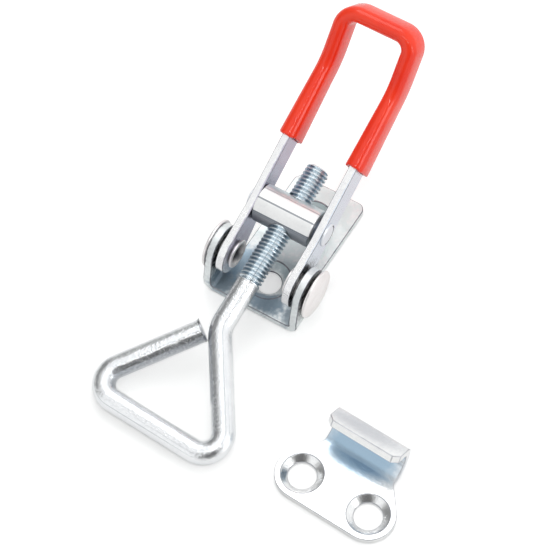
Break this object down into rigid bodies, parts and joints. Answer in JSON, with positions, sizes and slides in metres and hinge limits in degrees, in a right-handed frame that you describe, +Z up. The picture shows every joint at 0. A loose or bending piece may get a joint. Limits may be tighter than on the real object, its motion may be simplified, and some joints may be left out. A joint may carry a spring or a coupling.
{
  "type": "over centre toggle latch",
  "caption": "Toggle latch with a U handle in a plastic grip, folded base, screw-adjusted wire draw loop and a separate hook keeper.",
  "frame": {"origin": "midway between the base bracket's two fixing holes, on its underside", "axes": "+X from the handle towards the draw loop, +Y along the pivot axis to the rivet that stands proud, +Z up from the mounting plane"},
  "size_m": [0.1077, 0.0785, 0.0457],
  "materials": {
    "zinc_base": "bright zinc plate",
    "zinc_rivet": "bright zinc plate",
    "zinc_handle": "bright zinc plate",
    "red_grip": "glossy soft PVC",
    "zinc_trunnion": "bright zinc plate",
    "zinc_bolt": "bright zinc plate",
    "zinc_keeper": "bright zinc plate"
  },
  "bodies": {
    "base": {"base_bracket": "zinc_base", "pivot_rivet_left": "zinc_rivet", "pivot_rivet_right": "zinc_rivet", "keeper": "zinc_keeper"},
    "lever": {"handle": "zinc_handle", "grip_sleeve": "red_grip"},
    "cross_pin": {"trunnion": "zinc_trunnion"},
    "draw_loop": {"draw_bolt": "zinc_bolt"}
  },
  "joints": [
    {"name": "handle_swing", "type": "hinge", "parent": "base", "child": "lever", "pos_m": [0.01155, 0, 0.01025], "axis": [0, 1, 0], "range_deg": [-29, 130]},
    {"name": "trunnion_turn", "type": "hinge", "parent": "lever", "child": "cross_pin", "pos_m": [-0.00042, 0, 0.01653], "axis": [0, 1, 0], "range_deg": [-130, 29]},
    {"name": "loop_turn", "type": "hinge", "parent": "cross_pin", "child": "draw_loop", "pos_m": [-0.00042, 0, 0.01653], "axis": [0.9729, -0.0157, -0.2306], "range_deg": [-180, 180]}
  ],
  "couplings": [
    {"joint": "trunnion_turn", "follows": "handle_swing", "ratio": -1}
  ]
}
